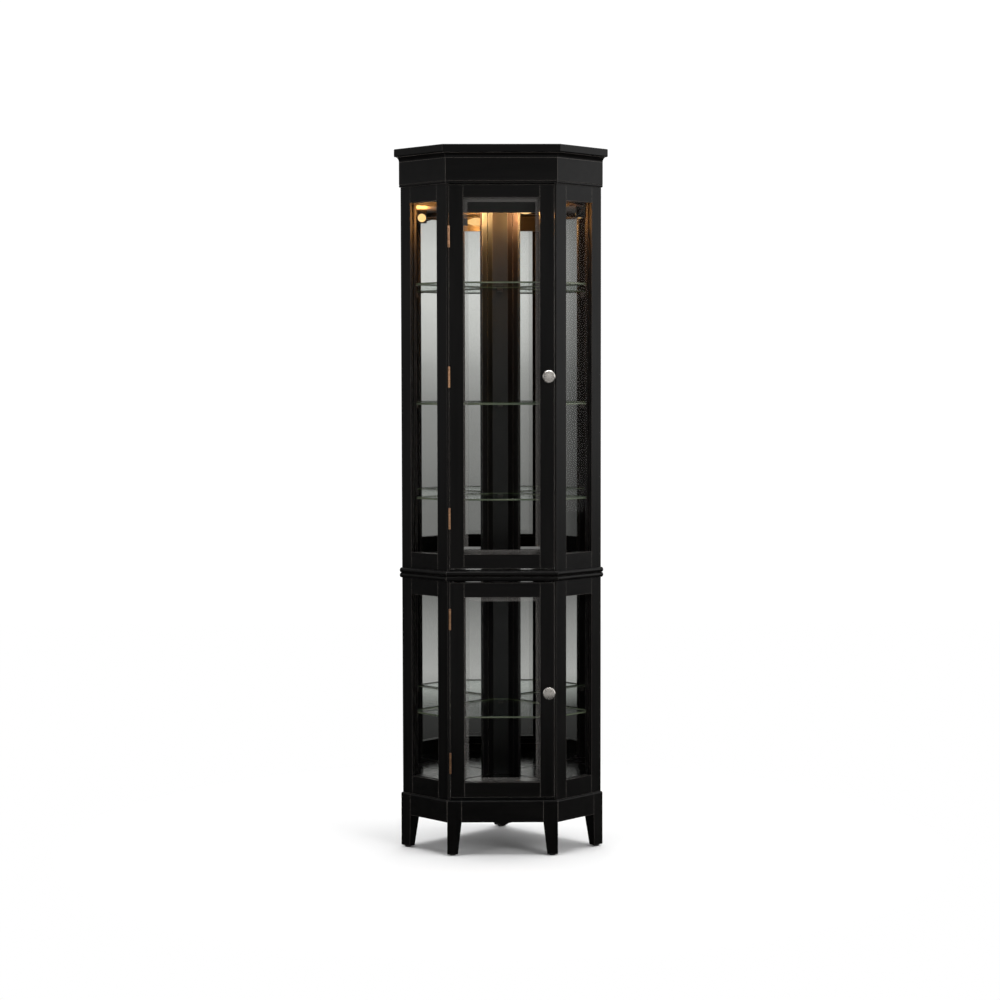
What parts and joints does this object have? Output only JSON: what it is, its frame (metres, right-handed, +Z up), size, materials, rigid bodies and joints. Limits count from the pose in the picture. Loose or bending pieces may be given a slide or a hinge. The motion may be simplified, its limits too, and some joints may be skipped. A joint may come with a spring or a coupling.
{
  "type": "curio cabinet",
  "caption": "Tall black corner curio cabinet with glazed angled sides, mirrored backs, glass shelves, an inside lamp and two glazed doors that swing on butt hinges.",
  "frame": {"origin": "on the floor, under the middle of the cabinet's overall box", "axes": "+X to the right as seen from the front, +Y towards the rear corner, +Z up; the doors face -Y"},
  "size_m": [0.5398, 0.3938, 1.778],
  "materials": {
    "black_lacquer": "black satin lacquer over hardwood and fibreboard, with a faint grain",
    "lacquered_panel": "black lacquer on a flat board, glossier than the frame",
    "back_board": "thin fibreboard, painted black",
    "clear_glass": "clear float glass",
    "shelf_glass": "clear float glass with green edges",
    "bevelled_glass": "clear glass with a wide polished bevel",
    "mirror": "silvered glass",
    "aged_brass": "coppery aged brass plate",
    "satin_nickel": "satin nickel, softly brushed",
    "bright_steel": "plain zinc-plated steel",
    "glide_plastic": "hard black nylon",
    "socket_plastic": "moulded black phenolic",
    "bulb_glass": "clear glass, lit from inside",
    "cap_brass": "thin rolled brass",
    "lead_pvc": "brown insulated lead",
    "fitting_plastic": "dark brown nylon"
  },
  "bodies": {
    "cabinet": {"crown_slab": "black_lacquer", "crown_cove": "black_lacquer", "frieze": "black_lacquer", "ceiling_panel": "black_lacquer", "light_valance": "black_lacquer", "front_posts": "black_lacquer", "side_posts": "black_lacquer", "rear_post": "black_lacquer", "side_rails": "black_lacquer", "side_panes_lower": "clear_glass", "side_panes_upper": "clear_glass", "back_rails": "black_lacquer", "mirrors_lower": "mirror", "mirrors_upper": "mirror", "back_boards": "back_board", "upper_floor": "lacquered_panel", "lower_floor": "lacquered_panel", "waist_rail": "black_lacquer", "lower_door_stop": "black_lacquer", "waist_moulding": "black_lacquer", "door_magnets": "bright_steel", "hinge_frame_leaves": "aged_brass", "hinge_pins": "aged_brass", "hinge_frame_screws": "aged_brass", "feet": "black_lacquer", "glides": "glide_plastic", "front_apron": "black_lacquer", "side_aprons": "black_lacquer", "back_aprons": "black_lacquer", "glass_shelf_top": "shelf_glass", "glass_shelf_middle": "shelf_glass", "glass_shelf_bottom": "shelf_glass", "glass_shelf_lower": "shelf_glass", "shelf_clips": "fitting_plastic", "lamp_bracket": "fitting_plastic", "lamp_socket": "socket_plastic", "lamp_bulb": "bulb_glass", "bulb_base": "cap_brass", "lamp_lead": "lead_pvc", "lead_fittings": "fitting_plastic"},
    "upper_door": {"upper_door_hinge_stile": "black_lacquer", "upper_door_knob_stile": "black_lacquer", "upper_door_bottom_rail": "black_lacquer", "upper_door_top_rail": "black_lacquer", "upper_door_glass": "bevelled_glass", "upper_door_beads": "black_lacquer", "upper_door_knob": "satin_nickel", "upper_door_strike": "bright_steel", "upper_door_hinge_leaves": "aged_brass", "upper_door_screws": "aged_brass"},
    "lower_door": {"lower_door_hinge_stile": "black_lacquer", "lower_door_knob_stile": "black_lacquer", "lower_door_bottom_rail": "black_lacquer", "lower_door_top_rail": "black_lacquer", "lower_door_glass": "bevelled_glass", "lower_door_beads": "black_lacquer", "lower_door_knob": "satin_nickel", "lower_door_strike": "bright_steel", "lower_door_hinge_leaves": "aged_brass", "lower_door_screws": "aged_brass"}
  },
  "joints": [
    {"name": "upper_door_hinge", "type": "hinge", "parent": "cabinet", "child": "upper_door", "pos_m": [-0.13102, -0.17785, 1.2015], "axis": [0, 0, -1], "range_deg": [0, 120]},
    {"name": "lower_door_hinge", "type": "hinge", "parent": "cabinet", "child": "lower_door", "pos_m": [-0.13102, -0.17785, 0.41625], "axis": [0, 0, -1], "range_deg": [0, 120]}
  ]
}
